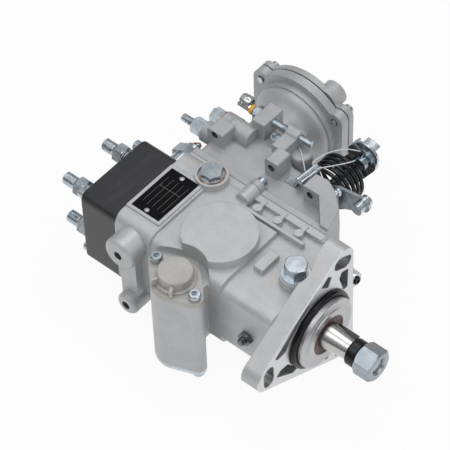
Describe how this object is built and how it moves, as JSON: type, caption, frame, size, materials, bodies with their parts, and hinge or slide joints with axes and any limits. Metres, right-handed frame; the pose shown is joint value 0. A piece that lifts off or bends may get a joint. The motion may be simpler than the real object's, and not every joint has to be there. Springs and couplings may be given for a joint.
{
  "type": "diesel injection pump",
  "caption": "Distributor injection pump with mounting flange, tapered drive shaft, distributor head, timing device, governor cover, control lever and boost compensator.",
  "frame": {"origin": "drive shaft axis at the front face of the mounting flange", "axes": "+X along the drive shaft towards its nut, +Y towards the governor cover and boost compensator, +Z out of the nameplate side"},
  "size_m": [0.3285, 0.2712, 0.142],
  "materials": {
    "cast": "satin",
    "cover_cast": "satin",
    "warm_cast": "satin",
    "black_head": "matt",
    "steel": "satin",
    "zinc": "bright",
    "copper": "satin",
    "rubber": "matt",
    "seal_brown": "satin",
    "plate_black": "gloss",
    "spring_black": "gloss",
    "gasket": "matt",
    "chrome": "polished"
  },
  "bodies": {
    "pump": {"pump_housing": "cast", "pilot_o_ring": "rubber", "shaft_seal": "seal_brown", "shaft_bush": "copper", "feed_ring": "steel", "feed_plate": "steel", "governor_shaft": "steel", "lever_pin": "steel", "spring_bridge": "steel", "plunger_springs": "steel", "distributor_head": "black_head", "distributor_barrel": "steel", "head_plug": "zinc", "outlet_holders": "zinc", "head_bolts": "zinc", "stop_solenoid": "zinc", "timing_spring": "steel", "timing_cover": "warm_cast", "timing_plate": "zinc", "nameplate": "plate_black", "boss_plug": "zinc", "inlet_bolt": "zinc", "governor_cover": "cover_cast", "cover_gasket": "gasket", "small_screws": "zinc", "rear_stud": "zinc", "rear_nut": "zinc", "copper_washers": "copper", "rear_plug": "zinc", "stop_screw": "zinc", "stop_nut": "zinc", "stop_cap": "chrome", "low_lever": "zinc", "return_spring": "spring_black", "boost_diaphragm": "rubber", "boost_lid": "cover_cast", "boost_screws": "zinc", "boost_spring": "steel", "governor_spring": "steel"},
    "shaft": {"drive_shaft": "steel", "woodruff_key": "steel", "thread_sleeve": "rubber", "shaft_nut": "zinc", "feed_rotor": "steel", "feed_vanes": "steel", "drive_gear": "steel", "cross_disc": "steel", "cam_disc": "steel", "plunger": "steel"},
    "governor": {"governor_cage": "steel", "flyweights": "steel"},
    "governor_arm": {"governor_lever": "steel"},
    "slider": {"governor_slider": "steel"},
    "metering_sleeve": {"control_sleeve": "steel"},
    "advance_piston": {"timing_piston": "steel"},
    "advance_ring": {"roller_ring": "steel", "rollers": "steel"},
    "throttle": {"lever_shaft": "zinc", "top_lever": "zinc"},
    "boost": {"boost_pin": "steel"}
  },
  "joints": [
    {"name": "drive_shaft_spin", "type": "hinge", "parent": "pump", "child": "shaft", "pos_m": [0, 0, 0], "axis": [1, 0, 0], "continuous": true},
    {"name": "governor_spin", "type": "hinge", "parent": "pump", "child": "governor", "pos_m": [-0.08, 0.04, 0], "axis": [1, 0, 0], "continuous": true},
    {"name": "governor_lever_swing", "type": "hinge", "parent": "pump", "child": "governor_arm", "pos_m": [-0.163, 0.022, 0], "axis": [0, 0, 1], "range_deg": [-4.5, 4.5], "deforming": ["governor_spring"]},
    {"name": "slider_slide", "type": "slide", "parent": "pump", "child": "slider", "axis": [1, 0, 0], "range_m": [-0.00145, 0.00145]},
    {"name": "metering_sleeve_slide", "type": "slide", "parent": "pump", "child": "metering_sleeve", "axis": [1, 0, 0], "range_m": [-0.001, 0.001]},
    {"name": "timing_piston_slide", "type": "slide", "parent": "pump", "child": "advance_piston", "axis": [0, 0, 1], "range_m": [-0.006, 0.006], "deforming": ["timing_spring"]},
    {"name": "roller_ring_turn", "type": "hinge", "parent": "pump", "child": "advance_ring", "pos_m": [-0.108, 0, 0], "axis": [1, 0, 0], "range_deg": [-6.1, 6.1]},
    {"name": "throttle_turn", "type": "hinge", "parent": "pump", "child": "throttle", "pos_m": [-0.08, 0.1, 0.02], "axis": [0, 1, 0], "range_deg": [0, 45]},
    {"name": "boost_pin_slide", "type": "slide", "parent": "pump", "child": "boost", "axis": [0, 1, 0], "range_m": [-0.005, 0], "deforming": ["boost_spring"]}
  ],
  "couplings": [
    {"joint": "governor_spin", "follows": "drive_shaft_spin", "ratio": -1.5},
    {"joint": "slider_slide", "follows": "governor_lever_swing", "m_per_rad": -0.018},
    {"joint": "metering_sleeve_slide", "follows": "governor_lever_swing", "m_per_rad": 0.0125},
    {"joint": "roller_ring_turn", "follows": "timing_piston_slide", "rad_per_m": -17.544}
  ]
}
